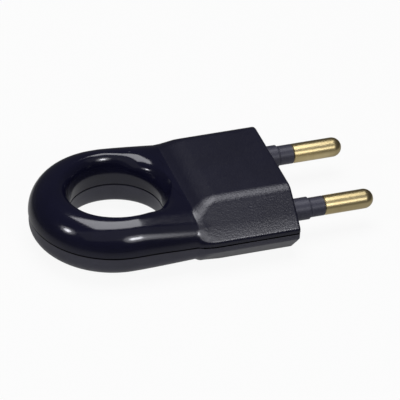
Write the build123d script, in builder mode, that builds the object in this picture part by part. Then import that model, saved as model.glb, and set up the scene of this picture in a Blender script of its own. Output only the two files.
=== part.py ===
from build123d import *
import os

# Two-pin mains plug with a finger ring, in millimetres.
# X = 0 is the engagement face and +X the way the pins go in. Z = 0 is the plane of the pin axes,
# where the two shells meet, and +Z is the upper shell's side.

# Contact pins and their insulating sleeves
pin_dia = 4.0
pin_pitch = 19.0
pin_reach = 18.0
sleeve_reach = 7.4
collar_dia = 4.6
collar_reach = 4.2
neck_dia = 3.0
head_dia = 6.4
head_length = 7.0
brass_edge = 0.15
wire_bore_dia = 2.6
wire_bore_depth = 5.5

# Block, upper half
block_length = 20.8
block_width = 34.6
top_width = 22.0
top_height = 7.35
lip_height = 1.25
fall_start = 17.3
waist_start = 17.0
runout_start = 19.5
runout_radius = 1.2
shoulder_radius = 2.2
lip_radius = 0.35
front_lean = 0.35
front_edge_radius = 0.4

# Block, lower half
bottom_depth = 6.2
bottom_width = 26.0
skirt_depth = 1.6
seam_step = 0.15
bottom_edge_radius = 0.8
lower_front_lean = 0.1
lower_fall_start = 16.2

# Finger ring
ring_radius = 16.6
ring_offset = 1.0
ring_height = 6.4
ring_lip = 0.5
ring_round = 5.4
neck_height = 5.45
neck_round = 6.3
lower_ring_depth = 5.1
lower_ring_round = 4.0
lower_neck_depth = 4.7
lower_neck_round = 6.0
hole_radius = 9.5
hole_web = 2.8
hole_wall_up = 2.2
hole_round = 1.8
hole_wall_down = 2.6
lower_hole_round = 2.4

# Shadow line round the seam
groove_height = 0.25
groove_depth = 0.5

# Walls, wire chamber and cord inlet
front_wall = 2.4
stop_wall = 1.0
wire_passage_dia = 3.6
chamber_width = 22.6
chamber_rear_wall = 2.4
chamber_top = 4.2
chamber_floor = 1.5
inlet_dia = 6.4

# Terminal screws
terminal_screw_dia = 2.9
terminal_head_dia = 4.2
terminal_head_height = 1.2
terminal_tip_height = 0.9

# Cord clamp
clamp_y = 2.8
clamp_width = 3.6
clamp_thickness = 1.4
clamp_corner = 1.2
clamp_seat = 1.2
clamp_screw_inset = 1.3
post_length = 2.4
clamp_screw_dia = 1.9
clamp_screw_length = 6.0
clamp_head_dia = 2.6
clamp_head_height = 1.2

# Assembly screws, and the threaded inserts moulded into the upper shell
assembly_screw_dia = 2.5
assembly_head_dia = 3.8
assembly_head_height = 1.5
assembly_head_recess = 0.8
insert_dia = 4.0
insert_height = 3.4
insert_spare = 0.4

# Fits and screwdriver slots
seat_clearance = 0.05
pocket_clearance = 0.3
slot_width = 0.7
slot_depth = 0.6
cut_margin = 1.0
rim_margin = 0.005

# Places worked out from the sizes above
head_rear = -(front_wall + head_length)
terminal_x = -(front_wall + head_length / 2)
hole_x = -(block_length + hole_web + hole_radius)
ring_x = hole_x - ring_offset
ring_screw_x = (hole_x - hole_radius + ring_x - ring_radius) / 2
chamber_front = head_rear - stop_wall
chamber_rear = hole_x + hole_radius + chamber_rear_wall
chamber_bottom = -(lower_neck_depth - chamber_floor)
inlet_x = (chamber_front + chamber_rear) / 2
clamp_length = chamber_front - chamber_rear - 2 * pocket_clearance
clamp_span = clamp_length - 2 * clamp_screw_inset
clamp_screw_x = {"front": inlet_x + clamp_span / 2, "rear": inlet_x - clamp_span / 2}
assembly_screw_x = {"block": terminal_x, "ring": ring_screw_x}
assembly_head_depth = assembly_head_recess + assembly_head_height
assembly_seat = {"block": assembly_head_depth - bottom_depth, "ring": assembly_head_depth - lower_ring_depth}
pin_y = {"left": pin_pitch / 2, "right": -pin_pitch / 2}
slope_run = (block_width - top_width) / 2
slope_rise = top_height - lip_height


def block_plan(inset):
    """Plan of the block: parallel lips that draw in to the ring's arms at the rear."""
    half = block_width / 2 - inset
    arm = ring_radius - inset
    with BuildSketch() as plan:
        with BuildLine():
            Line((0, half), (0, -half))
            for side in (1, -1):
                Line((0, side * half), (-waist_start, side * half))
                TangentArc((-waist_start, side * half), (-block_length, side * arm), tangent=(-1, 0))
            Line((-block_length, arm), (-block_length, -arm))
        make_face()
    return plan.sketch


def block_half(plan, half_width, lip, flat_width, height, neck, shoulder, lean, fall):
    """Half of the block: one mass cut to its side view, its front view and its plan."""
    with BuildPart() as half:
        with BuildSketch(Plane.XZ):
            with BuildLine():
                Polyline((-block_length, neck), (-block_length, 0), (0, 0), (-lean, height), (-fall, height))
                TangentArc((-fall, height), (-block_length, neck), tangent=(-1, 0))
            make_face()
        extrude(amount=half_width, both=True)
        with BuildSketch(Plane.YZ) as front_view:
            with BuildLine():
                Polyline((-half_width, 0), (-half_width, lip), (-flat_width / 2, height),
                         (flat_width / 2, height), (half_width, lip), (half_width, 0), close=True)
            make_face()
            fillet(front_view.vertices().group_by(Axis.Y)[1], radius=lip_radius)
        extrude(amount=-block_length, mode=Mode.INTERSECT)
        ridges = half.edges().filter_by(lambda e: e.center().Z > neck)
        fillet(ridges.filter_by(lambda e: e.bounding_box().size.X > 2 * lean), radius=shoulder)
        extrude(plan, amount=height, mode=Mode.INTERSECT)
        front = half.faces().sort_by(Axis.X)[-1]
        fillet(front.edges().filter_by(lambda e: e.center().Z > lip), radius=front_edge_radius)
    return half.part


def ring_plan(inset):
    """Plan of the ring and its arms, which run forward into the block."""
    arm_length = -ring_x - waist_start
    with BuildSketch() as plan:
        with Locations((ring_x, 0)):
            Circle(ring_radius - inset)
        with Locations((ring_x + arm_length / 2, 0)):
            Rectangle(arm_length, 2 * (ring_radius - inset))
    return plan.sketch


def arm_section(plane, radius, wall, rounding, height):
    """Section across the arms of the ring: upright lips, then rounded flanks up to a flat crown."""
    with BuildSketch(plane) as section:
        with BuildLine():
            crown = radius - rounding
            Polyline((-radius, wall), (-radius, 0), (radius, 0), (radius, wall))
            EllipticalCenterArc((crown, wall), rounding, height - wall, 0, arc_size=90)
            Line((crown, height), (-crown, height))
            EllipticalCenterArc((-crown, wall), rounding, height - wall, 90, arc_size=90)
        make_face()
    return section.sketch


def ring_half(radius, wall, rounding, height, neck_rounding, neck):
    """Half of the ring, with a rounded outer edge; its arms sink to the neck and run into the block."""
    root_section = arm_section(Plane.YZ.offset(ring_x), radius, wall, rounding, height)
    neck_section = arm_section(Plane.YZ.offset(-block_length), radius, wall, neck_rounding, neck)
    with BuildPart() as half:
        with BuildSketch(Plane.YZ.offset(ring_x)):
            with BuildLine():
                crown = radius - rounding
                Polyline((crown, height), (0, height), (0, 0), (radius, 0), (radius, wall))
                EllipticalCenterArc((crown, wall), rounding, height - wall, 0, arc_size=90)
            make_face()
        revolve(axis=Axis((ring_x, 0, 0), (0, 0, 1)), revolution_arc=180)
        loft([root_section, neck_section], ruled=True)
        extrude(neck_section, amount=block_length - waist_start)
    return half.part


def finger_hole(wall, rounding, height):
    """Half of the finger hole: a straight wall that rolls over to the ring's crown."""
    with BuildPart() as core:
        with BuildSketch(Plane.XZ):
            with BuildLine():
                edge = hole_x + hole_radius
                rim = height + rim_margin
                Polyline((edge, wall), (edge, -cut_margin), (hole_x, -cut_margin), (hole_x, rim + cut_margin),
                         (edge + rounding, rim + cut_margin), (edge + rounding, rim))
                EllipticalCenterArc((edge + rounding, wall), rounding, rim - wall, 90, arc_size=90)
            make_face()
        revolve(axis=Axis((hole_x, 0, 0), (0, 0, 1)))
    return core.part


def slotted_screw(seat, shank_dia, shank_length, head_dia, head_height):
    """Cheese-head screw: the head stands on the seat plane and the shank runs back from it."""
    with BuildPart() as body:
        with BuildSketch(seat):
            Circle(head_dia / 2)
        extrude(amount=head_height)
        with BuildSketch(seat):
            Circle(shank_dia / 2)
        extrude(amount=-shank_length)
        with BuildSketch(seat.offset(head_height)):
            Rectangle(slot_width, head_dia)
        extrude(amount=-slot_depth, mode=Mode.SUBTRACT)
    return body.part


# Flanks of the upper ring's arms, cut back to the block's slopes with a hollow run-out
upper_arms = ring_half(ring_radius, ring_lip, ring_round, ring_height, neck_round, neck_height)
with BuildPart() as upper_ring:
    add(upper_arms)
    for side in (1, -1):
        flank = Plane(
            origin=(-runout_start, side * block_width / 2, lip_height),
            x_dir=(1, 0, 0),
            z_dir=(0, -side * slope_run, slope_rise),
        )
        rise = side * runout_radius
        with BuildSketch(flank):
            with BuildLine():
                TangentArc((0, 0), (-runout_radius, rise), tangent=(-1, 0))
                Polyline((-runout_radius, rise), (runout_start, rise), (runout_start, 0), (0, 0))
            make_face()
        extrude(amount=block_width, both=True, mode=Mode.SUBTRACT)

# Room inside both shells: pin seats, wire chamber and cord inlet
with BuildPart() as interior:
    chamber_length = chamber_front - chamber_rear
    with BuildSketch(Plane.XY.offset(chamber_bottom)):
        with Locations((inlet_x, 0)):
            Rectangle(chamber_length, chamber_width)
    extrude(amount=chamber_top - chamber_bottom)
    with BuildSketch(Plane.XZ):
        with Locations((inlet_x, 0)):
            Circle(inlet_dia / 2)
    extrude(amount=-block_width)
    for y in pin_y.values():
        with BuildSketch(Plane.YZ.offset(chamber_front)):
            with Locations((y, 0)):
                Circle(wire_passage_dia / 2)
        extrude(amount=stop_wall)
        with BuildSketch(Plane.YZ.offset(head_rear)):
            with Locations((y, 0)):
                Circle(head_dia / 2 + seat_clearance)
        extrude(amount=head_length)
        with BuildSketch(Plane.YZ.offset(-front_wall)):
            with Locations((y, 0)):
                Circle(collar_dia / 2 + seat_clearance)
        extrude(amount=front_wall)
        with BuildSketch(Plane.XY):
            with Locations((terminal_x, y)):
                Circle(terminal_head_dia / 2 + pocket_clearance)
        extrude(amount=head_dia / 2 + terminal_head_height + pocket_clearance)

# Upper shell
outer_plan = block_plan(0)
upper_block = block_half(outer_plan, block_width / 2, lip_height, top_width, top_height, neck_height,
                         shoulder_radius, front_lean, fall_start)
upper_hole = finger_hole(hole_wall_up, hole_round, ring_height)
with BuildPart() as upper_shell:
    add(upper_block)
    add(upper_ring.part)
    add(upper_hole, mode=Mode.SUBTRACT)
    add(interior.part, mode=Mode.SUBTRACT)
    for x in assembly_screw_x.values():
        with BuildSketch(Plane.XY):
            with Locations((x, 0)):
                Circle(insert_dia / 2 + seat_clearance)
        extrude(amount=insert_height, mode=Mode.SUBTRACT)
upper_shell.part.label = "upper_shell"

# Lower shell, drawn in a little from the upper one, with a shadow line along the seam
lower_plan = block_plan(seam_step)
lower_block = block_half(lower_plan, block_width / 2 - seam_step, skirt_depth, bottom_width, bottom_depth,
                         lower_neck_depth, bottom_edge_radius, lower_front_lean, lower_fall_start)
lower_ring = ring_half(ring_radius - seam_step, skirt_depth, lower_ring_round, lower_ring_depth,
                       lower_neck_round, lower_neck_depth)
lower_hole = finger_hole(hole_wall_down, lower_hole_round, lower_ring_depth)
groove_outside = (outer_plan, ring_plan(0))
groove_inside = (block_plan(seam_step + groove_depth), ring_plan(seam_step + groove_depth))
with BuildPart() as lower_shell:
    add(mirror(lower_block, about=Plane.XY, mode=Mode.PRIVATE))
    add(mirror(lower_ring, about=Plane.XY, mode=Mode.PRIVATE))
    add(mirror(lower_hole, about=Plane.XY, mode=Mode.PRIVATE), mode=Mode.SUBTRACT)
    add(interior.part, mode=Mode.SUBTRACT)
    with BuildSketch():
        add(groove_outside)
        add(groove_inside, mode=Mode.SUBTRACT)
        with Locations((hole_x, 0)):
            Circle(hole_radius + groove_depth)
    extrude(amount=-groove_height, mode=Mode.SUBTRACT)
    with BuildSketch(Plane.XY.offset(chamber_bottom)):
        with Locations(*[(x, clamp_y) for x in clamp_screw_x.values()]):
            Rectangle(post_length, clamp_width)
    extrude(amount=clamp_seat - chamber_bottom)
    with BuildSketch(Plane.XY.offset(clamp_seat)):
        with Locations(*[(x, clamp_y) for x in clamp_screw_x.values()]):
            Circle(clamp_screw_dia / 2 + seat_clearance)
    extrude(amount=-(clamp_screw_length - clamp_thickness), mode=Mode.SUBTRACT)
    for place, x in assembly_screw_x.items():
        with BuildSketch():
            with Locations((x, 0)):
                Circle(assembly_screw_dia / 2 + pocket_clearance)
        extrude(amount=-bottom_depth, mode=Mode.SUBTRACT)
        with BuildSketch(Plane.XY.offset(assembly_seat[place])):
            with Locations((x, 0)):
                Circle(assembly_head_dia / 2 + pocket_clearance)
        extrude(amount=-bottom_depth, mode=Mode.SUBTRACT)
lower_shell.part.label = "lower_shell"

os.makedirs("parts", exist_ok=True)
for shell in (upper_shell, lower_shell):
    export_step(shell.part, f"parts/{shell.part.label}.step")

# Pins, sleeves and terminal screws, one set on each side
for side, y in pin_y.items():
    axis = Axis((0, y, 0), (1, 0, 0))
    with BuildPart() as pin:
        with BuildSketch(Plane.XZ.offset(-y)):
            with BuildLine():
                radius = pin_dia / 2
                Polyline((pin_reach - radius, radius), (sleeve_reach + brass_edge, radius),
                         (sleeve_reach, radius - brass_edge), (sleeve_reach, neck_dia / 2),
                         (-front_wall, neck_dia / 2), (-front_wall, head_dia / 2),
                         (head_rear, head_dia / 2), (head_rear, 0), (pin_reach, 0))
                RadiusArc((pin_reach - radius, radius), (pin_reach, 0), radius)
            make_face()
        revolve(axis=axis)
        with BuildSketch(Plane.YZ.offset(head_rear)):
            with Locations((y, 0)):
                Circle(wire_bore_dia / 2)
        extrude(amount=wire_bore_depth, mode=Mode.SUBTRACT)
        with BuildSketch(Plane.XY):
            with Locations((terminal_x, y)):
                Circle(terminal_screw_dia / 2 + seat_clearance)
        extrude(amount=head_dia, mode=Mode.SUBTRACT)
    pin.part.label = f"pin_{side}"
    export_step(pin.part, f"parts/pin_{side}.step")

    with BuildPart() as sleeve:
        with BuildSketch(Plane.XZ.offset(-y)):
            with BuildLine():
                bore = neck_dia / 2 + seat_clearance
                Polyline((-front_wall, bore), (-front_wall, collar_dia / 2), (collar_reach, collar_dia / 2),
                         (collar_reach, pin_dia / 2), (sleeve_reach, pin_dia / 2), (sleeve_reach, bore),
                         close=True)
            make_face()
        revolve(axis=axis)
    sleeve.part.label = f"sleeve_{side}"
    export_step(sleeve.part, f"parts/sleeve_{side}.step")

    terminal_seat = Plane((terminal_x, y, head_dia / 2))
    terminal_screw = slotted_screw(terminal_seat, terminal_screw_dia, head_dia / 2 - terminal_tip_height,
                                   terminal_head_dia, terminal_head_height)
    terminal_screw.label = f"terminal_screw_{side}"
    export_step(terminal_screw, f"parts/terminal_screw_{side}.step")

# Cord clamp: a strip on two posts of the lower shell
with BuildPart() as cord_clamp:
    with BuildSketch(Plane.XY.offset(clamp_seat)):
        with Locations((inlet_x, clamp_y)):
            RectangleRounded(clamp_length, clamp_width, clamp_corner)
        with Locations(*[(x, clamp_y) for x in clamp_screw_x.values()]):
            Circle(clamp_screw_dia / 2 + seat_clearance, mode=Mode.SUBTRACT)
    extrude(amount=clamp_thickness)
cord_clamp.part.label = "cord_clamp"
export_step(cord_clamp.part, "parts/cord_clamp.step")

for end, x in clamp_screw_x.items():
    screw_seat = Plane((x, clamp_y, clamp_seat + clamp_thickness))
    clamp_screw = slotted_screw(screw_seat, clamp_screw_dia, clamp_screw_length, clamp_head_dia,
                                clamp_head_height)
    clamp_screw.label = f"clamp_screw_{end}"
    export_step(clamp_screw, f"parts/clamp_screw_{end}.step")

# Assembly screws from below, each in a threaded insert of the upper shell
for place, x in assembly_screw_x.items():
    with BuildPart() as insert:
        with BuildSketch():
            with Locations((x, 0)):
                Circle(insert_dia / 2)
                Circle(assembly_screw_dia / 2 + seat_clearance, mode=Mode.SUBTRACT)
        extrude(amount=insert_height)
    insert.part.label = f"threaded_insert_{place}"
    export_step(insert.part, f"parts/threaded_insert_{place}.step")

    screw_seat = Plane((x, 0, assembly_seat[place]), x_dir=(1, 0, 0), z_dir=(0, 0, -1))
    assembly_screw = slotted_screw(screw_seat, assembly_screw_dia,
                                   insert_height - insert_spare - assembly_seat[place],
                                   assembly_head_dia, assembly_head_height)
    assembly_screw.label = f"assembly_screw_{place}"
    export_step(assembly_screw, f"parts/assembly_screw_{place}.step")
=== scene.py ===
import math

import bpy
import bmesh
import numpy as np
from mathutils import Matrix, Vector


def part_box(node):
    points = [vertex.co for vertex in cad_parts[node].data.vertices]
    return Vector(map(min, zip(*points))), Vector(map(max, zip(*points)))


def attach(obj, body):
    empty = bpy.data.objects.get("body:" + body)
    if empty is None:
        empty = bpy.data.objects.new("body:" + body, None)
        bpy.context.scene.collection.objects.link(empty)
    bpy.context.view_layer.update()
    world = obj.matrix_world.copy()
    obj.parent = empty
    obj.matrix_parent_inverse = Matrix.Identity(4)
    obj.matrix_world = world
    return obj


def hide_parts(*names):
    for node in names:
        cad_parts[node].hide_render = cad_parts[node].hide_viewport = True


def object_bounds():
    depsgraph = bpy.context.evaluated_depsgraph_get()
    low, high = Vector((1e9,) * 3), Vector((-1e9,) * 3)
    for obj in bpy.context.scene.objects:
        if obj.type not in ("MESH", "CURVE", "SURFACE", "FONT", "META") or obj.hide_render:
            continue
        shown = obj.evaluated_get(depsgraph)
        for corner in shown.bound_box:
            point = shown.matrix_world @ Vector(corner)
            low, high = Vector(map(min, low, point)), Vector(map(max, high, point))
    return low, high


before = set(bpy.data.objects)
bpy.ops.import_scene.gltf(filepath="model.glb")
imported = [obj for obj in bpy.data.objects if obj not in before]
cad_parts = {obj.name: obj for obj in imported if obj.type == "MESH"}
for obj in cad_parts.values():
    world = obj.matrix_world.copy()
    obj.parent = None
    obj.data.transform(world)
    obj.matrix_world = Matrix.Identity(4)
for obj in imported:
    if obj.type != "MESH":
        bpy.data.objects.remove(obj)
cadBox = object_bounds()
scene = bpy.context.scene
mm = 0.001
print("frame loaded with", len(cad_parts), "nodes")


# Camera, at the photograph's place. Angles in degrees, lengths in millimetres
view = {
    "azimuth": -19.61, "elevation": 35.04, "roll": 2.16,
    "distance": 900.0, "target": (-15.78, -1.13, 0.08),
    "lens": 404.2, "sensor": 36.0, "clipStart": 50.0,
}


def makeCamera(v):
    turn, rise, roll = (math.radians(v[k]) for k in ("azimuth", "elevation", "roll"))
    back = Vector((math.sin(turn) * math.cos(rise), -math.cos(turn) * math.cos(rise), math.sin(rise)))
    right = Vector((math.cos(turn), math.sin(turn), 0))
    up = back.cross(right)
    across = right * math.cos(roll) + up * math.sin(roll)
    upright = up * math.cos(roll) - right * math.sin(roll)
    data = bpy.data.cameras.new("camera")
    data.lens = v["lens"]
    data.sensor_width = v["sensor"]
    data.sensor_fit = "HORIZONTAL"
    data.clip_start = v["clipStart"] * mm
    camera = bpy.data.objects.new("camera", data)
    scene.collection.objects.link(camera)
    place = Vector(v["target"]) * mm + back * v["distance"] * mm
    for row in range(3):
        camera.matrix_world[row] = (across[row], upright[row], back[row], place[row])
    scene.camera = camera


makeCamera(view)
print("camera placed")


# Small helpers for shader and geometry trees
noiseSpan = 0.3, 0.7  # nearly all of a noise lies between these


def addNode(tree, kind, **settings):
    node = tree.nodes.new(kind)
    for key, value in settings.items():
        setattr(node, key, value)
    return node


def feed(tree, socket, source):
    # a node's socket takes either another socket or a plain value
    if isinstance(source, bpy.types.NodeSocket):
        tree.links.new(source, socket)
    else:
        socket.default_value = source


def mathNode(tree, operation, a, b=0.0, clamp=False):
    node = addNode(tree, "ShaderNodeMath", operation=operation, use_clamp=clamp)
    feed(tree, node.inputs[0], a)
    feed(tree, node.inputs[1], b)
    return node.outputs[0]


def noiseNode(tree, vector, scale, detail, roughness):
    node = addNode(tree, "ShaderNodeTexNoise")
    feed(tree, node.inputs["Vector"], vector)
    node.inputs["Scale"].default_value = scale
    node.inputs["Detail"].default_value = detail
    node.inputs["Roughness"].default_value = roughness
    return node.outputs["Fac"]


def rangeNode(tree, value, low, high, toLow, toHigh, smooth=False):
    node = addNode(tree, "ShaderNodeMapRange")
    node.interpolation_type = "SMOOTHSTEP" if smooth else "LINEAR"
    feed(tree, node.inputs["Value"], value)
    for name, number in (("From Min", low), ("From Max", high), ("To Min", toLow), ("To Max", toHigh)):
        feed(tree, node.inputs[name], number)
    return node.outputs["Result"]


def hypotNode(tree, a, b):
    squares = [mathNode(tree, "POWER", side, 2.0) for side in (a, b)]
    return mathNode(tree, "SQRT", mathNode(tree, "ADD", *squares))


def blendNode(tree, a, b, share):
    # a share of a, and the rest of b
    return mathNode(tree, "ADD", mathNode(tree, "MULTIPLY", a, share), mathNode(tree, "MULTIPLY", b, 1 - share))


def twoTone(tree, value, span, first, second):
    node = addNode(tree, "ShaderNodeValToRGB")
    feed(tree, node.inputs["Fac"], value)
    for element, place, colour in zip(node.color_ramp.elements, span, (first, second)):
        element.position = place
        element.color = (*colour, 1.0)
    return node.outputs["Color"]


def bumpNode(tree, height, strength, depth):
    node = addNode(tree, "ShaderNodeBump")
    feed(tree, node.inputs["Strength"], strength)
    node.inputs["Distance"].default_value = depth
    feed(tree, node.inputs["Height"], height)
    return node.outputs["Normal"]


def stretchedCoords(tree, coords, scale):
    node = addNode(tree, "ShaderNodeMapping")
    feed(tree, node.inputs["Vector"], coords)
    node.inputs["Scale"].default_value = scale
    return node.outputs["Vector"]


def newMaterial(name):
    material = bpy.data.materials.new(name)
    material.use_nodes = True
    tree = material.node_tree
    shader = tree.nodes["Principled BSDF"]
    coords = addNode(tree, "ShaderNodeTexCoord").outputs["Object"]
    return material, tree, shader, coords


# Black moulded plastic: polished on the ring, fine-grained and satin on the block
blackPlastic = {
    "dark": (0.0042, 0.0042, 0.0130), "pale": (0.0066, 0.0066, 0.0185),
    "flowSize": 9.0 * mm, "flowNoise": (2.0, 0.5), "flowShare": 0.7,  # a noise's pair is detail and roughness
    "ringGloss": 0.13, "blockGloss": (0.36, 0.32), "glossSpread": 0.03,
    "scuffSize": 0.5 * mm, "scuffNoise": (4.0, 0.65), "scuffStretch": (0.25, 1, 1),
    "ringShine": 0.5, "blockShine": 0.62, "sheen": (0.95, 0.95, 1.0),
    "armStarts": -33.0 * mm, "armSatin": 0.25, "armSide": (8.0 * mm, 13.5 * mm),
    "polishEnds": -21.1 * mm, "grainStarts": -20.5 * mm,
    "polishRun": 1.3 * mm, "polishRise": (0.95 * mm, 2.0 * mm),
    "wornEdge": (0.95 * mm, 1.25 * mm), "wear": 0.75,
    "grooveShade": (-0.43 * mm, -0.37 * mm), "grooveTop": (-0.05 * mm, 0.0),
    "holeSide": (11.5 * mm, 12.5 * mm),
    "grainSize": 0.37 * mm, "grainNoise": (2.0, 0.6), "grainDepth": 0.09 * mm, "grainStrength": (0.02, 0.55),
}
# the lower shell comes from a duller mould
dullPlastic = {
    **blackPlastic, "dark": (0.028, 0.028, 0.043), "pale": (0.040, 0.040, 0.058),
    "ringGloss": 0.36, "blockGloss": (0.42, 0.42), "blockShine": 0.5, "grainDepth": 0.03 * mm,
}


def makeBlackPlastic(p, name):
    material, tree, shader, coords = newMaterial(name)
    place = addNode(tree, "ShaderNodeSeparateXYZ")
    feed(tree, place.inputs[0], coords)
    arm = rangeNode(tree, place.outputs["X"], p["armStarts"], p["polishEnds"], 0.0, p["armSatin"], smooth=True)
    outer = rangeNode(tree, mathNode(tree, "ABSOLUTE", place.outputs["Y"]), *p["armSide"], 0.0, 1.0, smooth=True)
    arm = mathNode(tree, "MULTIPLY", arm, outer)
    # low on the flank the polish reaches forward, along the crease
    reach = rangeNode(tree, place.outputs["Z"], *p["polishRise"], p["polishRun"], 0.0)
    block = rangeNode(tree, mathNode(tree, "SUBTRACT", place.outputs["X"], reach),
                      p["polishEnds"], p["grainStarts"], 0.0, 1.0, smooth=True)
    worn = rangeNode(tree, place.outputs["Z"], *p["wornEdge"], 1 - p["wear"], 1.0)
    satin = mathNode(tree, "MULTIPLY", mathNode(tree, "MAXIMUM", arm, block), worn)
    flow = noiseNode(tree, coords, 1 / p["flowSize"], *p["flowNoise"])
    grain = noiseNode(tree, coords, 1 / p["grainSize"], *p["grainNoise"])
    scuff = noiseNode(tree, stretchedCoords(tree, coords, p["scuffStretch"]), 1 / p["scuffSize"], *p["scuffNoise"])
    tone = twoTone(tree, blendNode(tree, flow, grain, p["flowShare"]), noiseSpan, p["dark"], p["pale"])
    # painted shade: base colour and specular level drop to nothing on the floor of the seam's groove, where no light
    # reaches, except inside the finger hole
    riseStart, riseEnd = (-back * mm for back in housing["riseSpan"])
    risen = rangeNode(tree, place.outputs["X"], riseEnd, riseStart, housing["grooveRise"] * mm, 0.0, smooth=True)
    level = mathNode(tree, "SUBTRACT", place.outputs["Z"], risen)
    below = rangeNode(tree, level, *p["grooveShade"], 1.0, 0.0)
    above = rangeNode(tree, level, *p["grooveTop"], 0.0, 1.0)
    along = mathNode(tree, "SUBTRACT", place.outputs["X"], housing["holeX"] * mm)
    inHole = rangeNode(tree, hypotNode(tree, along, place.outputs["Y"]), *p["holeSide"], 1.0, 0.0)
    lit = mathNode(tree, "MAXIMUM", mathNode(tree, "MAXIMUM", below, above), inHole)
    shaded = addNode(tree, "ShaderNodeVectorMath", operation="SCALE")
    feed(tree, shaded.inputs[0], tone)
    feed(tree, shaded.inputs["Scale"], lit)
    feed(tree, shader.inputs["Base Color"], shaded.outputs[0])
    blockGloss = rangeNode(tree, place.outputs["X"], p["grainStarts"], 0.0, *p["blockGloss"])
    gloss = rangeNode(tree, satin, 0.0, 1.0, p["ringGloss"], blockGloss)
    spread = rangeNode(tree, scuff, *noiseSpan, -p["glossSpread"], p["glossSpread"])
    feed(tree, shader.inputs["Roughness"], mathNode(tree, "ADD", gloss, spread, clamp=True))
    grainStrength = rangeNode(tree, satin, 0.0, 1.0, *p["grainStrength"])
    feed(tree, shader.inputs["Normal"], bumpNode(tree, grain, grainStrength, p["grainDepth"]))
    shine = rangeNode(tree, satin, 0.0, 1.0, p["ringShine"], p["blockShine"])
    # the painted shade in the groove also takes away the groove's reflection
    feed(tree, shader.inputs["Specular IOR Level"], mathNode(tree, "MULTIPLY", shine, lit))
    shader.inputs["Specular Tint"].default_value = (*p["sheen"], 1.0)
    return material


# Insulating sleeves: a matt, slightly paler black
sleevePlastic = {
    "dark": (0.026, 0.026, 0.044), "pale": (0.042, 0.042, 0.064),
    "gloss": (0.38, 0.52), "sheen": (0.92, 0.92, 1.0), "ior": 1.5,
    "grainSize": 0.18 * mm, "grainNoise": (3.0, 0.6), "grainDepth": 0.015 * mm, "grainStrength": 0.5,
}


def makeSleevePlastic(p, name):
    material, tree, shader, coords = newMaterial(name)
    grain = noiseNode(tree, coords, 1 / p["grainSize"], *p["grainNoise"])
    feed(tree, shader.inputs["Base Color"], twoTone(tree, grain, noiseSpan, p["dark"], p["pale"]))
    feed(tree, shader.inputs["Roughness"], rangeNode(tree, grain, *noiseSpan, *p["gloss"]))
    feed(tree, shader.inputs["Normal"], bumpNode(tree, grain, p["grainStrength"], p["grainDepth"]))
    shader.inputs["IOR"].default_value = p["ior"]
    shader.inputs["Specular Tint"].default_value = (*p["sheen"], 1.0)
    return material


# Turned metal: tool marks round the piece, faint lengthwise rubbing, tarnish in patches
turnedMetal = {
    "markNoise": (2.0, 0.5), "patchNoise": (3.0, 0.5), "toneSpan": (0.34, 0.6),
    "markShare": 0.2, "patchShare": 0.4, "markStrength": 0.3,
}
pinBrass = {
    **turnedMetal, "bright": (0.66, 0.54, 0.30), "dull": (0.52, 0.42, 0.21), "gloss": (0.36, 0.31),
    "marks": (2400, 150, 150), "rubbing": (60, 1500, 1500), "patch": 6.0 * mm, "depth": 0.0001 * mm,
}
insertBrass = {
    **turnedMetal, "bright": (0.62, 0.46, 0.22), "dull": (0.44, 0.31, 0.14), "gloss": (0.42, 0.28),
    "marks": (350, 350, 9000), "rubbing": (2600, 2600, 90), "patch": 1.5 * mm, "depth": 0.001 * mm,
}
zincSteel = {
    **turnedMetal, "bright": (0.58, 0.58, 0.56), "dull": (0.40, 0.41, 0.43), "gloss": (0.40, 0.24),
    "marks": (2500, 2500, 2500), "rubbing": (400, 2600, 2600), "patch": 1.2 * mm, "depth": 0.001 * mm,
}


def makeTurnedMetal(p, name):
    material, tree, shader, coords = newMaterial(name)
    marks = noiseNode(tree, stretchedCoords(tree, coords, p["marks"]), 1.0, *p["markNoise"])
    rubbing = noiseNode(tree, stretchedCoords(tree, coords, p["rubbing"]), 1.0, *p["markNoise"])
    patches = noiseNode(tree, coords, 1 / p["patch"], *p["patchNoise"])
    streaks = blendNode(tree, marks, rubbing, p["markShare"])
    tone = blendNode(tree, patches, streaks, p["patchShare"])
    feed(tree, shader.inputs["Base Color"], twoTone(tree, tone, p["toneSpan"], p["dull"], p["bright"]))
    feed(tree, shader.inputs["Roughness"], rangeNode(tree, patches, *noiseSpan, *p["gloss"]))
    feed(tree, shader.inputs["Normal"], bumpNode(tree, marks, p["markStrength"], p["depth"]))
    shader.inputs["Metallic"].default_value = 1.0
    return material


# The moulded housing, in millimetres. Each half is one formula: below zero inside, above zero outside
upperLow, upperHigh = (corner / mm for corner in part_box("upper_shell"))
lowerLow, lowerHigh = (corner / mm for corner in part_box("lower_shell"))
housing = {
    "blockLength": 20.8, "ringX": -34.1, "holeX": -33.1, "holeRadius": 9.5,
    "waistStart": 17.0, "armTaper": 0.0012, "armFade": (-20.0, -16.4), "armSink": 1.1,
    "neckStart": -32.6, "neckBend": 1.18, "rimEdge": 0.12, "draftStart": 2.4, "draft": 11.0, "spreadStart": 15.5,
    "creaseRise": (3.4, 4.6), "seamEdge": 0.08,
    "grooveHeight": 0.36, "grooveInset": 1.0, "grooveHole": 10.4, "grooveRise": 0.32, "riseSpan": (21.0, 30.0),
    # degrees round the finger hole, counted from the web
    "webTurn": (0.0, 60.0), "leaveTurn": (0.0, 38.0), "settleTurn": (46.0, 74.0), "tailTurn": (100.0, 150.0),
}
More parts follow.
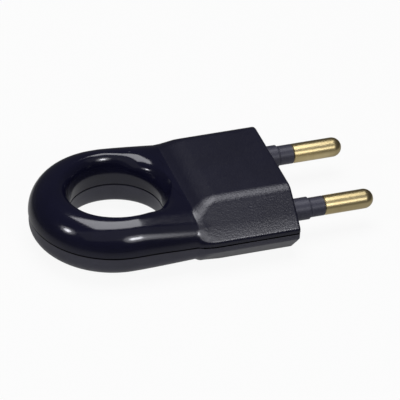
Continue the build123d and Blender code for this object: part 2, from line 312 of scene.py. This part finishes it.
upperHalf = {
    "halfWidth": upperHigh.y, "lip": 1.25, "flat": 11.0, "height": upperHigh.z, "lean": 0.35,
    "fallTilt": 31.0, "fallRound": 1.0, "endEdge": 0.05, "crease": (0.7, 0.2),
    "shoulder": 0.92, "shoulderSpread": 0.7, "lipEdge": 0.26, "frontEdge": 0.4,
    "skirtLip": 0.95, "skirtTilt": 56.0, "skirtRound": 0.5,
    "ringRadius": 16.6, "ringLip": 0.5, "ringRound": 5.4, "ringHeight": 6.4,
    "neckRound": 6.3, "neckHeight": 5.45,
    "holeWall": 2.1, "holeRound": 2.1, "holeSpread": 1.9, "tailSpread": 0.6,
    "webRound": 0.6, "webDraft": 20.0, "webEdge": 0.2, "webBlend": 0.45,
}
lowerHalf = {
    "halfWidth": lowerHigh.y, "lip": 1.6, "flat": 13.0, "height": -lowerLow.z, "lean": 0.1,
    "fallTilt": 14.0, "fallRound": 0.3, "endEdge": 1.2, "crease": (1.0, 1.0),
    "shoulder": 0.25, "shoulderSpread": 0.0, "lipEdge": 0.14, "frontEdge": 0.4,
    "skirtLip": 1.6, "skirtTilt": 60.0, "skirtRound": 0.2,
    "ringRadius": 16.45, "ringLip": 1.6, "ringRound": 4.4, "ringHeight": 5.1,
    "neckRound": 5.0, "neckHeight": 4.85,
    "holeWall": 2.6, "holeRound": 2.4, "holeSpread": 0.0, "tailSpread": 0.0,
    "webRound": 2.4, "webDraft": 0.0, "webEdge": 0.0, "webBlend": 0.0,
}
# room inside: wire chamber, cord inlet on the left flank, pin seats, screw holes
rooms = {
    "chamberX": (-21.2, -10.4), "chamberY": 11.3, "chamberZ": (-3.2, 4.2),
    "inletX": -15.8, "inletRadius": 3.2, "inletY": (0.0, 20.0),
    "pinY": 9.5, "passage": (1.8, -10.5, -9.3), "seat": (3.25, -9.4, -2.4), "collar": (2.35, -2.5, 1.0),
    "terminalX": -5.9, "terminal": (2.4, -1.0, 4.7),
    "screwX": (-5.9, -46.65), "screwSeat": (-3.9, -2.8),
    "insert": (2.05, -1.0, 3.4), "screwHole": 1.55, "counterbore": 2.2,
    "postX": (-19.6, -12.0), "postHalf": 1.2, "postY": (1.0, 4.6), "postTop": 1.2, "overrun": 1.0,
}


def roundMax(a, b, radius):
    # where two forms cut each other, with the edge rounded
    edge = np.hypot(np.maximum(a + radius, 0), np.maximum(b + radius, 0))
    return np.minimum(np.maximum(a, b), -radius) + edge


def roundMin(a, b, radius):
    # two forms joined, with the crease filled
    return -roundMax(-a, -b, radius)


def smoothStep(value, start, end):
    t = np.clip((value - start) / (end - start), 0, 1)
    return t * t * (3 - 2 * t)


def arcDistance(u, v, uStart, vStart, uEnd, vEnd):
    # straight at vStart up to uStart, then an arc that leaves it smoothly and passes the end point
    run = uEnd - uStart
    drop = vStart - vEnd
    radius = (run * run + drop * drop) / (2 * drop)
    past = np.maximum(u - uStart, 0)
    return np.where(u > uStart, np.hypot(past, np.maximum(v - vStart + radius, 0)) - radius, v - vStart)


def ellipseDistance(u, v, semiU, semiV):
    # a quarter ellipse beyond the centre, straight walls before it
    pu = np.maximum(u, 0) / semiU
    pv = np.maximum(v, 0) / semiV
    k = np.hypot(pu, pv)
    slope = np.hypot(pu / semiU, pv / semiV)
    rounded = (k - 1) * k / np.maximum(slope, 1e-9)
    return np.where((u > 0) & (v > 0), rounded, np.maximum(u - semiU, v - semiV))


def housingHalf(h, x, y, z):
    # z is counted away from the seam
    side = np.abs(y)
    back = -x
    length = housing["blockLength"]
    run = h["halfWidth"] - h["flat"]
    rise = h["height"] - h["lip"]
    tilt = math.radians(h["fallTilt"])
    fall = (back - length) * math.sin(tilt) + (z - h["neckHeight"]) * math.cos(tilt)
    top = roundMax(z - h["height"], fall, h["fallRound"])
    slope = ((side - h["halfWidth"]) * rise + (z - h["lip"]) * run) / math.hypot(rise, run)
    lip = arcDistance(back, side, housing["waistStart"], h["halfWidth"], length, h["ringRadius"])
    front = (x * h["height"] + z * h["lean"]) / math.hypot(h["height"], h["lean"])
    tilt = math.radians(h["skirtTilt"])
    skirt = lip * math.sin(tilt) + (z - h["skirtLip"]) * math.cos(tilt)
    shoulder = h["shoulder"] + h["shoulderSpread"] * smoothStep(back, housing["spreadStart"], length)
    block = roundMax(top, roundMax(slope, skirt, h["skirtRound"]), shoulder)
    block = roundMax(block, lip, h["lipEdge"])
    block = roundMax(block, front, h["frontEdge"])
    block = roundMax(block, back - length, h["endEdge"])

    ringX = housing["ringX"]
    spread = np.where(x < ringX, np.hypot(x - ringX, y), side + housing["armTaper"] * (x - ringX) ** 2)
    neck = np.clip((x - housing["neckStart"]) / (-length - housing["neckStart"]), 0, 1) ** housing["neckBend"]
    rounding = h["ringRound"] + neck * (h["neckRound"] - h["ringRound"])
    height = h["ringHeight"] + neck * (h["neckHeight"] - h["ringHeight"])
    ring = ellipseDistance(spread - h["ringRadius"] + rounding, z - h["ringLip"], rounding, height - h["ringLip"])
    ring = ring + housing["armSink"] * smoothStep(x, *housing["armFade"])
    ring = np.maximum(ring, x + housing["waistStart"])
    low, high = h["crease"]
    form = roundMin(block, ring, low + (high - low) * smoothStep(z, *housing["creaseRise"]))

    fromHole = np.hypot(x - housing["holeX"], y)
    # the roll is widest where the arms leave the ring and tight at the web, which has more draft instead
    turn = np.degrees(np.arctan2(side, x - housing["holeX"]))
    leaving = smoothStep(turn, *housing["leaveTurn"])
    spreads = leaving * (1 - smoothStep(turn, *housing["settleTurn"]))
    roll = h["webRound"] + (h["holeRound"] - h["webRound"]) * leaving + h["holeSpread"] * spreads
    roll = roll + h["tailSpread"] * smoothStep(turn, *housing["tailTurn"])
    inward = housing["holeRadius"] + roll - fromHole
    wall = ellipseDistance(inward, z - h["holeWall"], roll, height - h["holeWall"])
    wall = np.where(inward > 0, wall, inward - roll)
    web = 1 - smoothStep(turn, *housing["webTurn"])
    draft = np.radians(housing["draft"] + h["webDraft"] * web)
    opening = housing["holeRadius"] + (z - housing["draftStart"]) * np.tan(draft)
    wall = roundMax(wall, (opening - fromHole) * np.cos(draft), housing["rimEdge"] + h["webBlend"] * web)
    return roundMax(form, wall, housing["rimEdge"] + h["webEdge"] * web)


def boxRoom(x, y, z, xSpan, ySpan, zSpan):
    spans = ((x, xSpan), (y, ySpan), (z, zSpan))
    return np.maximum.reduce([np.maximum(low - p, p - high) for p, (low, high) in spans])


def rodRoom(u, v, along, radius, low, high):
    return np.maximum.reduce([np.hypot(u, v) - radius, low - along, along - high])


def sharedRooms(x, y, z):
    r = rooms
    found = [
        boxRoom(x, y, z, r["chamberX"], (-r["chamberY"], r["chamberY"]), r["chamberZ"]),
        rodRoom(x - r["inletX"], z, y, r["inletRadius"], *r["inletY"]),
    ]
    for turned in ("passage", "seat", "collar"):
        found.append(rodRoom(np.abs(y) - r["pinY"], z, x, *r[turned]))
    return found


def seamGroove(x, y):
    # depth behind the housing's outline, and how far the groove has risen at this place
    spread = np.where(x < housing["ringX"], np.hypot(x - housing["ringX"], y), np.abs(y))
    waist = arcDistance(-x, np.abs(y), housing["waistStart"], upperHalf["halfWidth"],
                        housing["blockLength"], upperHalf["ringRadius"])
    plan = np.where(x > -housing["blockLength"], waist, spread - upperHalf["ringRadius"])
    rise = housing["grooveRise"] * smoothStep(-x, *housing["riseSpan"])
    return -plan - housing["grooveInset"], rise


def upperField(x, y, z):
    shell = roundMax(housingHalf(upperHalf, x, y, z), -z, housing["seamEdge"])
    cuts = sharedRooms(x, y, z)
    outline, rise = seamGroove(x, y)
    cuts.append(np.maximum(outline, z - rise))
    cuts.append(rodRoom(x - rooms["terminalX"], np.abs(y) - rooms["pinY"], z, *rooms["terminal"]))
    for screwX in rooms["screwX"]:
        cuts.append(rodRoom(x - screwX, y, z, *rooms["insert"]))
    return np.maximum(shell, -np.minimum.reduce(cuts))


def lowerField(x, y, z):
    shell = roundMax(housingHalf(lowerHalf, x, y, -z), z, housing["seamEdge"])
    cuts = sharedRooms(x, y, z)
    past = rooms["overrun"]
    for postX in rooms["postX"]:
        span = (postX - rooms["postHalf"], postX + rooms["postHalf"])
        post = boxRoom(x, y, z, span, rooms["postY"], (rooms["chamberZ"][0] - past, rooms["postTop"]))
        cuts[0] = np.maximum(cuts[0], -post)
    for screwX, seat in zip(rooms["screwX"], rooms["screwSeat"]):
        cuts.append(rodRoom(x - screwX, y, z, rooms["screwHole"], lowerLow.z - past, past))
        cuts.append(rodRoom(x - screwX, y, z, rooms["counterbore"], lowerLow.z - past, seat))
    # shadow groove under the seam, round the outside and the finger hole
    outline, rise = seamGroove(x, y)
    inHole = np.hypot(x - housing["holeX"], y) - housing["grooveHole"]
    cuts.append(np.maximum(outline, rise - housing["grooveHeight"] - z))
    cuts.append(np.maximum(inHole, -housing["grooveHeight"] - z))
    return np.maximum(shell, -np.minimum.reduce(cuts))


# How finely the two halves are meshed, in millimetres and degrees
shellMesh = {
    "cell": 0.24, "seamCell": 0.08, "seamBand": 0.7, "margin": 0.317, "sharpAngle": 32,
    "probe": 0.002, "halvings": 14, "flatLimit": 0.06,  # a direction below this share counts as flat
}


def gridLine(low, high, cell):
    return np.linspace(low, high, int(round((high - low) / cell)) + 1)


def fieldNormals(field, points):
    step = shellMesh["probe"]
    slopes = []
    for axis in range(3):
        ahead = points.copy()
        behind = points.copy()
        ahead[:, axis] += step
        behind[:, axis] -= step
        slopes.append(field(*ahead.T) - field(*behind.T))
    normals = np.stack(slopes, axis=1)
    return normals / np.maximum(np.linalg.norm(normals, axis=1, keepdims=True), 1e-12)


def contourField(field, lines):
    # one vertex in each grid cell that the surface crosses, set where the planes through its crossings meet
    value = field(*np.meshgrid(*lines, indexing="ij"))
    inside = value < 0
    cells = np.array(value.shape) - 1
    points, owners, quads = [], [], []
    for axis in range(3):
        nextAxis, lastAxis = (axis + 1) % 3, (axis + 2) % 3
        first = np.take(inside, range(0, cells[axis]), axis)
        second = np.take(inside, range(1, cells[axis] + 1), axis)
        index = np.argwhere(first != second)
        leaving = first[tuple(index.T)]
        low = np.stack([lines[a][index[:, a]] for a in range(3)], axis=1)
        high = low.copy()
        high[:, axis] = lines[axis][index[:, axis] + 1]
        for halving in range(shellMesh["halvings"]):
            middle = (low + high) / 2
            same = ((field(*middle.T) < 0) == leaving)[:, None]
            low = np.where(same, middle, low)
            high = np.where(same, high, middle)
        corners = []
        for stepNext, stepLast in ((1, 1), (0, 1), (0, 0), (1, 0)):
            cell = index.copy()
            cell[:, nextAxis] -= stepNext
            cell[:, lastAxis] -= stepLast
            corners.append(np.ravel_multi_index(tuple(cell.T), tuple(cells)))
        quad = np.stack(corners, axis=1)
        points.append((low + high) / 2)
        owners.append(quad)
        quads.append(np.where(leaving[:, None], quad, quad[:, ::-1]))
    points = np.concatenate(points)
    owners = np.concatenate(owners)
    normals = fieldNormals(field, points)

    used, quadVertex = np.unique(np.concatenate(quads), return_inverse=True)
    quadVertex = quadVertex.reshape(-1, 4)
    owner = np.searchsorted(used, owners)
    count = np.zeros(len(used))
    centre = np.zeros((len(used), 3))
    for corner in range(4):
        np.add.at(count, owner[:, corner], 1)
        np.add.at(centre, owner[:, corner], points)
    centre /= count[:, None]
    planes = np.zeros((len(used), 3, 3))
    offsets = np.zeros((len(used), 3))
    for corner in range(4):
        away = np.sum(normals * (points - centre[owner[:, corner]]), axis=1)
        np.add.at(planes, owner[:, corner], normals[:, :, None] * normals[:, None, :])
        np.add.at(offsets, owner[:, corner], normals * away[:, None])
    weights, directions = np.linalg.eigh(planes)
    keep = weights > shellMesh["flatLimit"] * weights[:, -1:]
    inverse = np.where(keep, 1 / np.where(keep, weights, 1), 0)
    turned = np.einsum("nji,nj->ni", directions, offsets) * inverse
    vertices = centre + np.einsum("nij,nj->ni", directions, turned)
    cell = np.stack(np.unravel_index(used, tuple(cells)), axis=1)
    low = np.stack([lines[a][cell[:, a]] for a in range(3)], axis=1)
    high = np.stack([lines[a][cell[:, a] + 1] for a in range(3)], axis=1)
    return np.clip(vertices, low, high), quadVertex


def makeShell(name, field, low, high, levels, finish):
    margin = shellMesh["margin"]
    lines = [gridLine(low[a] - margin, high[a] + margin, shellMesh["cell"]) for a in range(2)] + [levels]
    vertices, quads = contourField(field, lines)
    vertices = np.clip(vertices, low, high)
    mesh = bpy.data.meshes.new(name)
    mesh.from_pydata((vertices * mm).tolist(), [], quads.tolist())
    mesh.validate()
    mesh.shade_smooth()
    mesh.set_sharp_from_angle(angle=math.radians(shellMesh["sharpAngle"]))
    mesh.materials.append(finish)
    shell = bpy.data.objects.new(name, mesh)
    scene.collection.objects.link(shell)
    print(name, "moulded with", len(quads), "faces")
    return shell


finishes = {
    "shell": makeBlackPlastic(blackPlastic, "blackPlastic"),
    "lowerShell": makeBlackPlastic(dullPlastic, "dullPlastic"),
    "sleeve": makeSleevePlastic(sleevePlastic, "sleevePlastic"),
    "pin": makeTurnedMetal(pinBrass, "pinBrass"),
    "insert": makeTurnedMetal(insertBrass, "insertBrass"),
    "screw": makeTurnedMetal(zincSteel, "zincSteel"),
    "clamp": makeTurnedMetal(zincSteel, "clampSteel"),
}
print("finishes mixed:", ", ".join(finishes))


# Levels lie closer together at the seam
cell, seamCell, band, margin = (shellMesh[k] for k in ("cell", "seamCell", "seamBand", "margin"))
upperLevels = np.concatenate([gridLine(-margin / 2, band, seamCell)[:-1], gridLine(band, upperHigh.z + margin, cell)])
lowerLevels = np.concatenate([gridLine(lowerLow.z - margin, -band, cell)[:-1], gridLine(-band, margin / 2, seamCell)])
upperShell = makeShell("upperShell", upperField, upperLow, upperHigh, upperLevels, finishes["shell"])
lowerShell = makeShell("lowerShell", lowerField, lowerLow, lowerHigh, lowerLevels, finishes["lowerShell"])


# Turned pieces: a profile of (along, radius) points is spun round its axis by a geometry tree
turning = {"mergeGap": 0.001, "boreSides": 32, "slotOverrun": 1.5, "sharpAngle": 28}  # millimetres and degrees


def makeTurningTree(name, cutter=None):
    tree = bpy.data.node_groups.new(name, "GeometryNodeTree")
    sockets = {}

    def tell(label, kind, way="INPUT"):
        sockets[label] = tree.interface.new_socket(label, in_out=way, socket_type=kind)

    tell("Profile", "NodeSocketGeometry")
    tell("Segments", "NodeSocketInt")
    tell("Place", "NodeSocketVector")
    tell("Turn", "NodeSocketRotation")
    tell("Finish", "NodeSocketMaterial")
    if cutter == "slot":
        for label in ("Head Top", "Slot Width", "Slot Depth", "Head Width"):
            tell(label, "NodeSocketFloat")
    if cutter == "hole":
        for label in ("Hole At", "Hole Radius", "Hole Depth"):
            tell(label, "NodeSocketFloat")
    tell("Piece", "NodeSocketGeometry", "OUTPUT")
    given = addNode(tree, "NodeGroupInput").outputs

    def whole(operation, a, b):
        node = addNode(tree, "FunctionNodeIntegerMath", operation=operation)
        feed(tree, node.inputs[0], a)
        feed(tree, node.inputs[1], b)
        return node.outputs[0]

    def vector(x, y, z):
        node = addNode(tree, "ShaderNodeCombineXYZ")
        for socket, source in zip(node.inputs, (x, y, z)):
            feed(tree, socket, source)
        return node.outputs[0]

    profileSize = addNode(tree, "GeometryNodeAttributeDomainSize")
    feed(tree, profileSize.inputs["Geometry"], given["Profile"])
    around = whole("ADD", given["Segments"], 1)
    grid = addNode(tree, "GeometryNodeMeshGrid")
    feed(tree, grid.inputs["Vertices X"], profileSize.outputs["Point Count"])
    feed(tree, grid.inputs["Vertices Y"], around)
    index = addNode(tree, "GeometryNodeInputIndex").outputs[0]
    sample = addNode(tree, "GeometryNodeSampleIndex", data_type="FLOAT_VECTOR")
    feed(tree, sample.inputs["Geometry"], given["Profile"])
    feed(tree, sample.inputs["Value"], addNode(tree, "GeometryNodeInputPosition").outputs[0])
    feed(tree, sample.inputs["Index"], whole("DIVIDE", index, around))
    point = addNode(tree, "ShaderNodeSeparateXYZ")
    feed(tree, point.inputs[0], sample.outputs[0])
    step = mathNode(tree, "DIVIDE", 2 * math.pi, given["Segments"])
    angle = mathNode(tree, "MULTIPLY", whole("MODULO", index, around), step)
    radius = point.outputs["Z"]
    spun = addNode(tree, "GeometryNodeSetPosition")
    feed(tree, spun.inputs["Geometry"], grid.outputs["Mesh"])
    feed(tree, spun.inputs["Position"], vector(
        point.outputs["X"],
        mathNode(tree, "MULTIPLY", radius, mathNode(tree, "COSINE", angle)),
        mathNode(tree, "MULTIPLY", radius, mathNode(tree, "SINE", angle))))
    closed = addNode(tree, "GeometryNodeMergeByDistance")
    feed(tree, closed.inputs["Geometry"], spun.outputs["Geometry"])
    closed.inputs["Distance"].default_value = turning["mergeGap"] * mm
    body = closed.outputs["Geometry"]

    if cutter:
        if cutter == "slot":
            tool = addNode(tree, "GeometryNodeMeshCube")
            feed(tree, tool.inputs["Size"], vector(
                mathNode(tree, "MULTIPLY", given["Slot Depth"], 2.0), given["Slot Width"],  # half stands above the head
                mathNode(tree, "MULTIPLY", given["Head Width"], turning["slotOverrun"])))
            toolPlace = vector(given["Head Top"], 0.0, 0.0)
        else:
            tool = addNode(tree, "GeometryNodeMeshCylinder")
            tool.inputs["Vertices"].default_value = turning["boreSides"]
            feed(tree, tool.inputs["Radius"], given["Hole Radius"])
            feed(tree, tool.inputs["Depth"], given["Hole Depth"])
            toolPlace = vector(given["Hole At"], 0.0, mathNode(tree, "MULTIPLY", given["Hole Depth"], 0.5))
        placed = addNode(tree, "GeometryNodeTransform")
        feed(tree, placed.inputs["Geometry"], tool.outputs["Mesh"])
        feed(tree, placed.inputs["Translation"], toolPlace)
        cut = addNode(tree, "GeometryNodeMeshBoolean", operation="DIFFERENCE", solver="EXACT")
        feed(tree, cut.inputs["Mesh 1"], body)
        feed(tree, cut.inputs["Mesh 2"], placed.outputs["Geometry"])
        body = cut.outputs["Mesh"]

    seated = addNode(tree, "GeometryNodeTransform")
    feed(tree, seated.inputs["Geometry"], body)
    feed(tree, seated.inputs["Translation"], given["Place"])
    feed(tree, seated.inputs["Rotation"], given["Turn"])
    real = addNode(tree, "GeometryNodeRealizeInstances")
    feed(tree, real.inputs["Geometry"], seated.outputs["Geometry"])
    finish = addNode(tree, "GeometryNodeSetMaterial")
    feed(tree, finish.inputs["Geometry"], real.outputs["Geometry"])
    feed(tree, finish.inputs["Material"], given["Finish"])
    feed(tree, addNode(tree, "NodeGroupOutput").inputs["Piece"], finish.outputs["Geometry"])
    return tree


def turnPiece(name, profile, tree, finish, inputs):
    outline = bpy.data.meshes.new(name + "Profile")
    outline.from_pydata([(along * mm, 0, radius * mm) for along, radius in profile],
                        [(i, i + 1) for i in range(len(profile) - 1)], [])
    maker = bpy.data.objects.new(name + "Profile", outline)
    scene.collection.objects.link(maker)
    modifier = maker.modifiers.new("turning", "NODES")
    modifier.node_group = tree
    identifiers = {item.name: item.identifier for item in tree.interface.items_tree if item.in_out == "INPUT"}
    for label, value in {"Finish": finish, **inputs}.items():
        modifier[identifiers[label]] = value
    evaluated = maker.evaluated_get(bpy.context.evaluated_depsgraph_get())
    mesh = bpy.data.meshes.new_from_object(evaluated)
    maker.modifiers.remove(modifier)
    bpy.data.objects.remove(maker)
    mesh.name = name
    work = bmesh.new()
    work.from_mesh(mesh)
    bmesh.ops.recalc_face_normals(work, faces=work.faces)
    work.to_mesh(mesh)
    work.free()
    mesh.shade_smooth()
    mesh.set_sharp_from_angle(angle=math.radians(turning["sharpAngle"]))
    piece = bpy.data.objects.new(name, mesh)
    scene.collection.objects.link(piece)
    print(name, "turned with", len(mesh.polygons), "faces")
    return piece


def arcPoints(centreX, centreR, radius, start, end, steps):
    angles = [math.radians(start + (end - start) * i / steps) for i in range(steps + 1)]
    return [(centreX + radius * math.cos(a), centreR + radius * math.sin(a)) for a in angles]


# Brass contact pins with a domed end, and the terminal head that sits in the shells
contactPin = {
    "radius": 2.0, "tip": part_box("pin_left")[1].x / mm, "brassStart": 7.4, "edge": 0.15,
    "neck": 1.5, "headFront": -2.4, "headRear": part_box("pin_left")[0].x / mm, "headRadius": 3.2, "headEdge": 0.2,
    "wireBore": 1.3, "wireDepth": 5.5, "screwAt": rooms["terminalX"], "screwBore": 1.5,
    "segments": 72, "domeSteps": 14,
}


def pinProfile(p):
    front, rear, edge = p["headFront"], p["headRear"], p["headEdge"]
    boreEnd = rear + p["wireDepth"]
    points = [(boreEnd, 0), (boreEnd, p["wireBore"]), (rear, p["wireBore"]), (rear, p["headRadius"] - edge),
              (rear + edge, p["headRadius"]), (front - edge, p["headRadius"]), (front, p["headRadius"] - edge),
              (front, p["neck"]), (p["brassStart"], p["neck"]), (p["brassStart"], p["radius"] - p["edge"]),
              (p["brassStart"] + p["edge"], p["radius"])]
    points += arcPoints(p["tip"] - p["radius"], 0, p["radius"], 90, 0, p["domeSteps"])
    return points[:-1] + [(p["tip"], 0)]


# Insulating sleeves: a collar at the face, then the pin's own diameter
pinSleeve = {
    "bore": 1.55, "rear": contactPin["headFront"], "collarRadius": 2.3, "collarEnd": 4.2,
    "radius": contactPin["radius"], "end": contactPin["brassStart"],
    "edge": 0.14, "step": 0.1, "segments": contactPin["segments"],
}


def sleeveProfile(p):
    edge, step = p["edge"], p["step"]
    return [(p["rear"], p["bore"]), (p["rear"], p["collarRadius"]), (p["collarEnd"] - edge, p["collarRadius"]),
            (p["collarEnd"], p["collarRadius"] - edge), (p["collarEnd"], p["radius"] - step),
            (p["collarEnd"] + 2 * step, p["radius"] - step), (p["collarEnd"] + 3 * step, p["radius"]),
            (p["end"] - edge, p["radius"]), (p["end"], p["radius"] - edge), (p["end"], p["bore"]),
            (p["rear"], p["bore"])]


# Cheese-head screws, profile counted from the head's seat
assemblyScrew = {
    "shank": 1.25, "head": 1.9, "headHeight": 1.5, "headEdge": 0.2, "point": 0.4,
    "slotWidth": 0.7, "slotDepth": 0.6, "segments": 48,
    "threadPitch": 0.45, "threadDepth": 0.18, "threadShare": 0.5,
}


def screwProfile(p, shankLength):
    points = [(-shankLength, 0), (-shankLength, p["shank"] - p["point"]), (-shankLength + p["point"], p["shank"])]
    turns = int((shankLength - p["point"]) * p["threadShare"] / p["threadPitch"])
    for turn in range(turns):
        along = p["point"] - shankLength + turn * p["threadPitch"]
        points.append((along + p["threadPitch"] / 2, p["shank"] - p["threadDepth"]))
        points.append((along + p["threadPitch"], p["shank"]))
    return points + [(0, p["shank"]), (0, p["head"]), (p["headHeight"] - p["headEdge"], p["head"]),
                     (p["headHeight"], p["head"] - p["headEdge"]), (p["headHeight"], 0)]


pieces = [(upperShell, "upper_shell", "shell"), (lowerShell, "lower_shell", "shell")]
plainTree = makeTurningTree("turnedPiece")
drilledTree = makeTurningTree("drilledPin", "hole")
slottedTree = makeTurningTree("slottedScrew", "slot")
for side in ("left", "right"):
    low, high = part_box("pin_" + side)
    place = (0, (low.y + high.y) / 2, 0)
    pin = turnPiece(side + "Pin", pinProfile(contactPin), drilledTree, finishes["pin"], {
        "Segments": contactPin["segments"], "Place": place, "Turn": (0.0, 0.0, 0.0),
        "Hole At": contactPin["screwAt"] * mm, "Hole Radius": contactPin["screwBore"] * mm,
        "Hole Depth": 2 * contactPin["headRadius"] * mm})
    pieces.append((pin, "pin_" + side, "pin"))
    sleeve = turnPiece(side + "Sleeve", sleeveProfile(pinSleeve), plainTree, finishes["sleeve"], {
        "Segments": pinSleeve["segments"], "Place": place, "Turn": (0.0, 0.0, 0.0)})
    pieces.append((sleeve, "sleeve_" + side, "sleeve"))
for place in ("block", "ring"):
    low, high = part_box("assembly_screw_" + place)
    seat = low.z + assemblyScrew["headHeight"] * mm
    screw = turnPiece(place + "Screw", screwProfile(assemblyScrew, (high.z - seat) / mm), slottedTree,
                      finishes["screw"], {
        "Segments": assemblyScrew["segments"], "Place": ((low.x + high.x) / 2, 0, seat),
        "Turn": (0.0, math.pi / 2, 0.0), "Head Top": assemblyScrew["headHeight"] * mm,
        "Slot Width": assemblyScrew["slotWidth"] * mm, "Slot Depth": assemblyScrew["slotDepth"] * mm,
        "Head Width": 2 * assemblyScrew["head"] * mm})
    pieces.append((screw, "assembly_screw_" + place, "screw"))

for piece, node, slot in pieces:
    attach(piece, "root")
    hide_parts(node)
print("pieces seated:", len(pieces))


# Inner pieces keep their own solids and take the finishes
innerFinish = {"terminal_screw": "screw", "clamp_screw": "screw", "cord_clamp": "clamp", "threaded_insert": "insert"}
for name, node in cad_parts.items():
    for start, finish in innerFinish.items():
        if name.startswith(start):
            node.data.materials.clear()
            node.data.materials.append(finishes[finish])
print("inner pieces finished")


# White floor with painted light that falls off to grey, a dim room and the lamps, in millimetres
studio = {
    "floorHalf": 3000.0, "floorGap": 0.03, "floorRough": 0.9,
    "near": 0.62, "far": 0.20, "fallOff": (100.0, 420.0), "glow": 0.92,
    "footprint": (-34.0, 8.0, 17.0), "mirrorRise": (-8.0, -4.0), "mirrorFall": (4.0, 42.0),
    "holeMirror": 0.57, "nearMirror": 0.40, "farMirror": 0.07,
    "room": (0.05, 0.05, 0.055),
}
# a lamp's radiance is what a mirror would show of it, where 1 is white
lamps = {
    "overheadBox": {"place": (-22.5, 68, 500), "aim": (-22.5, 68, 0), "shape": "RECTANGLE",
                    "size": (361, 343), "radiance": 5.6},
    "frontCard": {"place": (-150, -430, 520), "aim": (-150, 0, 0), "shape": "RECTANGLE",
                  "size": (1300, 480), "radiance": 0.2},
    "leftBulb": {"place": (-652, -78, 354), "aim": (-46, -9, 4), "shape": "DISK",
                 "size": (106, 106), "radiance": 25.0},
    "leftReflector": {"place": (-661, -80, 359), "aim": (-46, -9, 4), "shape": "DISK",
                      "size": (260, 260), "radiance": 2.0},
    "frontBulb": {"place": (120, -596, 364), "aim": (-35, -15, 4), "shape": "DISK",
                  "size": (106, 106), "radiance": 25.0},
    "frontReflector": {"place": (120, -604, 369), "aim": (-35, -15, 4), "shape": "DISK",
                       "size": (300, 300), "radiance": 2.5},
}


def makeFloor(s):
    material, tree, shader, coords = newMaterial("whiteFloor")
    shader.inputs["Roughness"].default_value = s["floorRough"]
    shader.inputs["Specular IOR Level"].default_value = 0.0
    # distance outside the object's footprint, a strip with round ends
    place = addNode(tree, "ShaderNodeSeparateXYZ")
    feed(tree, place.inputs[0], coords)
    rear, fore, reach = (length * mm for length in s["footprint"])
    along = mathNode(tree, "MINIMUM", mathNode(tree, "MAXIMUM", place.outputs["X"], rear), fore)
    beyond = mathNode(tree, "SUBTRACT", place.outputs["X"], along)
    away = mathNode(tree, "SUBTRACT", hypotNode(tree, beyond, place.outputs["Y"]), reach)
    start, end = (length * mm for length in s["fallOff"])
    # painted light: the floor's colour is paler near the object and grey far off, where less lamplight would reach
    feed(tree, shader.inputs["Base Color"], rangeNode(tree, away, start, end, s["near"], s["far"], smooth=True))
    path = addNode(tree, "ShaderNodeLightPath").outputs
    # painted reflection: glossy and transmission rays see the floor glowing at a strength graded by distance from the
    # object's footprint, strongest inside it and in the finger hole, weaker at its edge as painted contact shadow, and
    # fading to dim further off
    mirrored = mathNode(tree, "MAXIMUM", path["Is Glossy Ray"], path["Is Transmission Ray"])
    start, end = (length * mm for length in s["mirrorRise"])
    nearMirror = rangeNode(tree, away, start, end, s["holeMirror"], s["nearMirror"], smooth=True)
    start, end = (length * mm for length in s["mirrorFall"])
    paintedMirrorGlow = rangeNode(tree, away, start, end, nearMirror, s["farMirror"], smooth=True)
    glow = addNode(tree, "ShaderNodeEmission")
    feed(tree, glow.inputs["Strength"], mathNode(tree, "MAXIMUM", path["Is Camera Ray"], paintedMirrorGlow))
    seen = mathNode(tree, "MULTIPLY", path["Is Camera Ray"], s["glow"])
    both = addNode(tree, "ShaderNodeMixShader")
    feed(tree, both.inputs["Fac"], mathNode(tree, "MAXIMUM", seen, mirrored))
    tree.links.new(shader.outputs[0], both.inputs[1])
    tree.links.new(glow.outputs[0], both.inputs[2])
    tree.links.new(both.outputs[0], tree.nodes["Material Output"].inputs["Surface"])
    half = s["floorHalf"] * mm
    level = cadBox[0][2] - s["floorGap"] * mm
    mesh = bpy.data.meshes.new("floor")
    mesh.from_pydata([(-half, -half, level), (half, -half, level), (half, half, level), (-half, half, level)],
                     [], [(0, 1, 2, 3)])
    mesh.materials.append(material)
    floor = bpy.data.objects.new("floor", mesh)
    scene.collection.objects.link(floor)


def makeRoom(s):
    world = bpy.data.worlds.new("room")
    scene.world = world
    world.use_nodes = True
    world.node_tree.nodes["Background"].inputs["Color"].default_value = (*s["room"], 1.0)


def makeLamp(name, lamp):
    data = bpy.data.lights.new(name, "AREA")
    data.shape = lamp["shape"]
    data.size, data.size_y = (length * mm for length in lamp["size"])
    area = data.size * data.size_y * (math.pi / 4 if lamp["shape"] == "DISK" else 1)
    data.energy = lamp["radiance"] * math.pi * area
    stand = bpy.data.objects.new(name, data)
    scene.collection.objects.link(stand)
    stand.location = Vector(lamp["place"]) * mm
    aim = Vector(lamp["aim"]) - Vector(lamp["place"])
    stand.rotation_euler = aim.to_track_quat("-Z", "Y").to_euler()


makeFloor(studio)
makeRoom(studio)
for name, lamp in lamps.items():
    makeLamp(name, lamp)
scene.view_settings.view_transform = "Standard"
print("studio lit with", len(lamps), "lamps")
